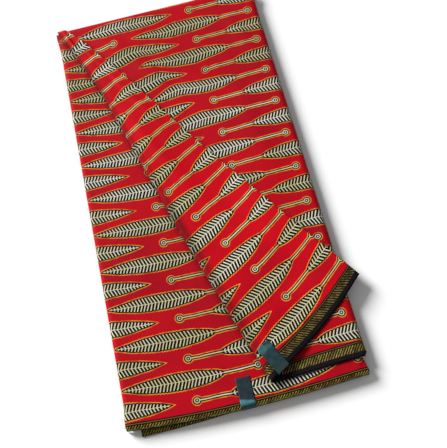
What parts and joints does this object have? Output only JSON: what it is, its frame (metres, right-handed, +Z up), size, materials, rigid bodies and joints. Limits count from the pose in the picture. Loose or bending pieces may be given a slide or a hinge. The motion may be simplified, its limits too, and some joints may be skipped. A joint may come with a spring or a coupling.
{
  "type": "folded wax print cloth",
  "caption": "Long length of printed cotton folded into a flat packet, with the top panel's corner turned back over itself and tape tabs on the selvedge edges.",
  "frame": {"origin": "under the middle of the packet's outline, on the surface that it rests on", "axes": "+Y along the packet towards its mid-fold end, the selvedge edges at -Y; +X across it towards the side that the turned corner points to; +Z up"},
  "size_m": [0.317, 0.5916, 0.0242],
  "materials": {
    "printed_cotton": "crisp cotton with a faint starched sheen, red ground with a dark, cream and yellow leaf print and a yellow hatched border",
    "tape": "smooth dark teal satin tape"
  },
  "bodies": {
    "root": {"cloth_stack": "printed_cotton", "under_panel": "printed_cotton", "top_panel": "printed_cotton", "front_tape": "tape", "flap_tape": "tape"}
  },
  "joints": []
}
